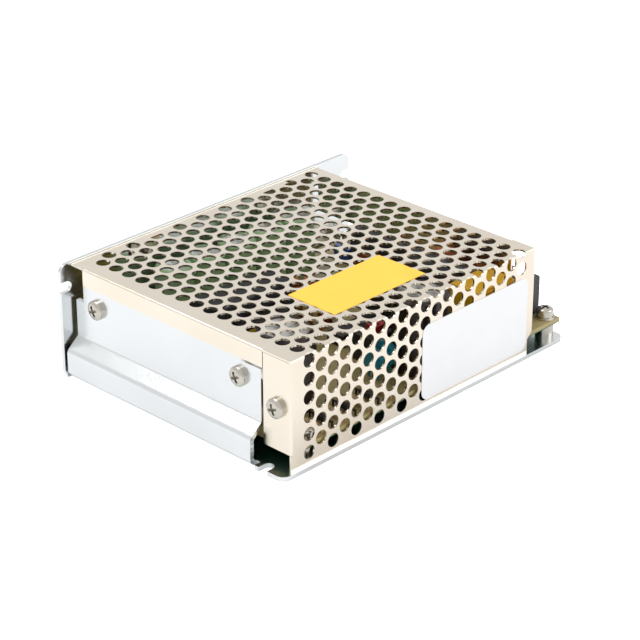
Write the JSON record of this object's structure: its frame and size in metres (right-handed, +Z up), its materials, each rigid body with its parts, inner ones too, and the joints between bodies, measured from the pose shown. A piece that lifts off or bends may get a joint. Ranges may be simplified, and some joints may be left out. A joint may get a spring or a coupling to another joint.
{
  "type": "switching power supply",
  "caption": "Switching power supply in a folded aluminium chassis with a perforated steel cover and an exposed barrier terminal strip; turns mains into one low DC output.",
  "frame": {"origin": "middle of the underside of the whole unit", "axes": "+X runs along the length to the end with the terminals, +Y points to the solid long wall, -Y to the perforated side with the label, +Z is up"},
  "size_m": [0.129, 0.098, 0.038],
  "materials": {
    "aluminium_sheet": "bright",
    "plated_steel_sheet": "bright nickel plate",
    "white_label": "satin",
    "yellow_label": "satin",
    "circuit_board": "satin laminate",
    "plated_hardware": "bright zinc or nickel plate",
    "insulating_pad": "matt",
    "insulating_bush": "matt",
    "black_moulding": "satin",
    "plated_brass": "tinned brass",
    "fuse_glass": "clear",
    "dark_ceramic": "matt",
    "yellow_box": "gloss",
    "ferrite": "matt ceramic",
    "enamelled_copper": "gloss enamel",
    "aluminium_can": "bright",
    "dark_sleeve": "gloss",
    "green_sleeve": "gloss",
    "yellow_tape": "film tape",
    "iron_powder_ring": "painted",
    "blue_dip_coating": "gloss",
    "resistor_lacquer": "lacquer",
    "brown_box": "gloss",
    "red_plastic": "satin",
    "blue_plastic": "satin",
    "white_plastic": "satin",
    "lamp_lens": "clear tinted"
  },
  "bodies": {
    "unit": {"chassis": "aluminium_sheet", "cover": "plated_steel_sheet", "side_label": "white_label", "top_label": "yellow_label", "circuit_board": "circuit_board", "board_spacers": "plated_hardware", "board_screws": "plated_hardware", "spring_washers": "plated_hardware", "flat_washers": "plated_hardware", "device_screws": "plated_hardware", "cover_screw": "plated_hardware", "cover_nut": "plated_hardware", "wall_screws": "plated_hardware", "insulating_pads": "insulating_pad", "insulating_bushes": "insulating_bush", "device_nuts": "plated_hardware", "power_transistor": "black_moulding", "output_rectifier": "black_moulding", "terminal_block": "black_moulding", "terminal_tabs": "plated_brass", "terminal_clamps": "plated_hardware", "terminal_screws": "plated_hardware", "fuse_tube": "fuse_glass", "fuse_caps": "plated_hardware", "fuse_clips": "plated_hardware", "thermistor": "dark_ceramic", "line_filter_capacitor": "yellow_box", "line_choke_core": "ferrite", "line_choke_windings": "enamelled_copper", "bridge_rectifier": "black_moulding", "input_capacitor_cans": "aluminium_can", "input_capacitor_sleeves": "dark_sleeve", "transformer_core": "ferrite", "transformer_bobbin": "black_moulding", "transformer_winding": "yellow_tape", "driver_core": "ferrite", "driver_bobbin": "black_moulding", "driver_winding": "yellow_tape", "output_choke_core": "iron_powder_ring", "output_choke_winding": "enamelled_copper", "output_capacitor_cans": "aluminium_can", "output_capacitor_sleeves": "green_sleeve", "safety_capacitors": "blue_dip_coating", "control_ic": "black_moulding", "resistors": "resistor_lacquer", "diodes": "black_moulding", "film_capacitors": "brown_box", "small_transistors": "black_moulding", "selector_body": "black_moulding", "trimmer_body": "blue_plastic", "indicator_led": "lamp_lens"},
    "selector": {"selector_slider": "red_plastic"},
    "trimmer": {"trimmer_rotor": "white_plastic"}
  },
  "joints": [
    {"name": "selector_slide", "type": "slide", "parent": "unit", "child": "selector", "axis": [1, 0, 0], "range_m": [0, 0.0045]},
    {"name": "trimmer_turn", "type": "hinge", "parent": "unit", "child": "trimmer", "pos_m": [0.0498, 0.0335, 0.0126], "axis": [0, 0, 1], "range_deg": [-135, 135]}
  ]
}
